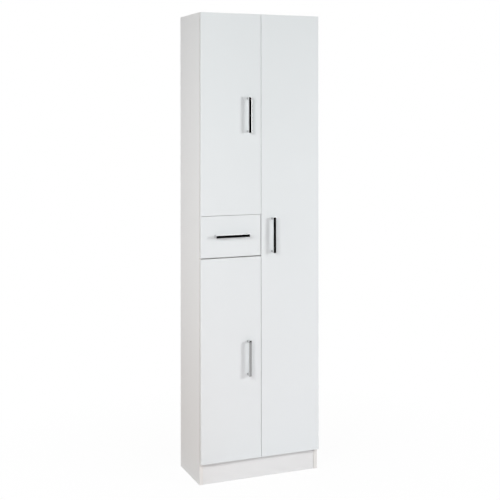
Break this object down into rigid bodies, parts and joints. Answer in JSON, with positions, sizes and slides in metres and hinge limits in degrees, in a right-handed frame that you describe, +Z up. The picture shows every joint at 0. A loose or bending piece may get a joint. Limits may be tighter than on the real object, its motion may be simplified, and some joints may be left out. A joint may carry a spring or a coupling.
{
  "type": "tall bathroom cabinet",
  "caption": "Tall narrow white bathroom cabinet with slab doors, a drawer between two doors on the left and a full-height door on the right, with chrome bar handles.",
  "frame": {"origin": "floor level below the middle of the whole box, handles included", "axes": "+Z up, +X to the right seen from the front, +Y to the back; the fronts face -Y"},
  "size_m": [0.5, 0.274, 1.82],
  "materials": {
    "white_board": "matt white melamine",
    "white_front": "satin white melamine, a cooler white than the case",
    "white_hardboard": "white faced hardboard",
    "chrome": "polished",
    "nickel_steel": "nickel plated",
    "zinc_steel": "zinc plated",
    "white_steel": "white epoxy coat",
    "white_plastic": "moulded nylon",
    "clear_pad": "clear soft pad",
    "beech": "fluted beech"
  },
  "bodies": {
    "case": {"back_nails": "zinc_steel", "back_panel": "white_hardboard", "bottom_panel": "white_board", "bracket_screws": "zinc_steel", "bumpers": "clear_pad", "cam_bolts": "zinc_steel", "cam_locks": "zinc_steel", "case_rail_left": "white_steel", "case_rail_right": "white_steel", "floor_glides": "white_plastic", "front_axles": "zinc_steel", "hinge_arms": "nickel_steel", "hinge_plates": "nickel_steel", "partition": "white_board", "partition_screws": "zinc_steel", "plate_screws": "zinc_steel", "plinth_board": "white_board", "rail_screws": "zinc_steel", "shelf_middle_right": "white_board", "shelf_over_drawer": "white_board", "shelf_pins": "zinc_steel", "shelf_under_drawer": "white_board", "shelves_lower_left": "white_board", "shelves_right": "white_board", "shelves_upper_left": "white_board", "side_left": "white_board", "side_right": "white_board", "top_panel": "white_board", "wall_brackets": "zinc_steel"},
    "upper_door": {"door_upper": "white_front", "handle_upper": "chrome", "handle_screws_upper": "zinc_steel", "hinge_cups_upper": "nickel_steel", "hinge_pins_upper": "nickel_steel", "cup_screws_upper": "zinc_steel"},
    "lower_door": {"door_lower": "white_front", "handle_lower": "chrome", "handle_screws_lower": "zinc_steel", "hinge_cups_lower": "nickel_steel", "hinge_pins_lower": "nickel_steel", "cup_screws_lower": "zinc_steel"},
    "tall_door": {"door_tall": "white_front", "handle_tall": "chrome", "handle_screws_tall": "zinc_steel", "hinge_cups_tall": "nickel_steel", "hinge_pins_tall": "nickel_steel", "cup_screws_tall": "zinc_steel"},
    "drawer": {"drawer_front": "white_front", "drawer_side_left": "white_board", "drawer_side_right": "white_board", "drawer_back": "white_board", "drawer_bottom": "white_hardboard", "drawer_dowels": "beech", "handle_drawer": "chrome", "handle_screws_drawer": "zinc_steel", "drawer_rail_left": "white_steel", "drawer_rail_right": "white_steel", "rear_axles": "zinc_steel"},
    "front_rollers": {"front_rollers": "white_plastic"},
    "rear_rollers": {"rear_rollers": "white_plastic"}
  },
  "joints": [
    {"name": "upper_door_hinge", "type": "hinge", "parent": "case", "child": "upper_door", "pos_m": [-0.2417, -0.106, 1.431], "axis": [0, 0, -1], "range_deg": [0, 100]},
    {"name": "lower_door_hinge", "type": "hinge", "parent": "case", "child": "lower_door", "pos_m": [-0.2417, -0.106, 0.471], "axis": [0, 0, -1], "range_deg": [0, 100]},
    {"name": "tall_door_hinge", "type": "hinge", "parent": "case", "child": "tall_door", "pos_m": [0.2417, -0.106, 0.951], "axis": [0, 0, 1], "range_deg": [0, 100]},
    {"name": "drawer_slide", "type": "slide", "parent": "case", "child": "drawer", "axis": [0, -1, 0], "range_m": [0, 0.15]},
    {"name": "front_roller_spin", "type": "hinge", "parent": "case", "child": "front_rollers", "pos_m": [-0.12125, -0.085, 0.8972], "axis": [1, 0, 0], "range_deg": [-1, 960]},
    {"name": "rear_roller_spin", "type": "hinge", "parent": "drawer", "child": "rear_rollers", "pos_m": [-0.12125, 0.088, 0.8962], "axis": [1, 0, 0], "range_deg": [-1, 960]}
  ],
  "couplings": [
    {"joint": "front_roller_spin", "follows": "drawer_slide", "rad_per_m": 111.11},
    {"joint": "rear_roller_spin", "follows": "drawer_slide", "rad_per_m": 111.11}
  ]
}
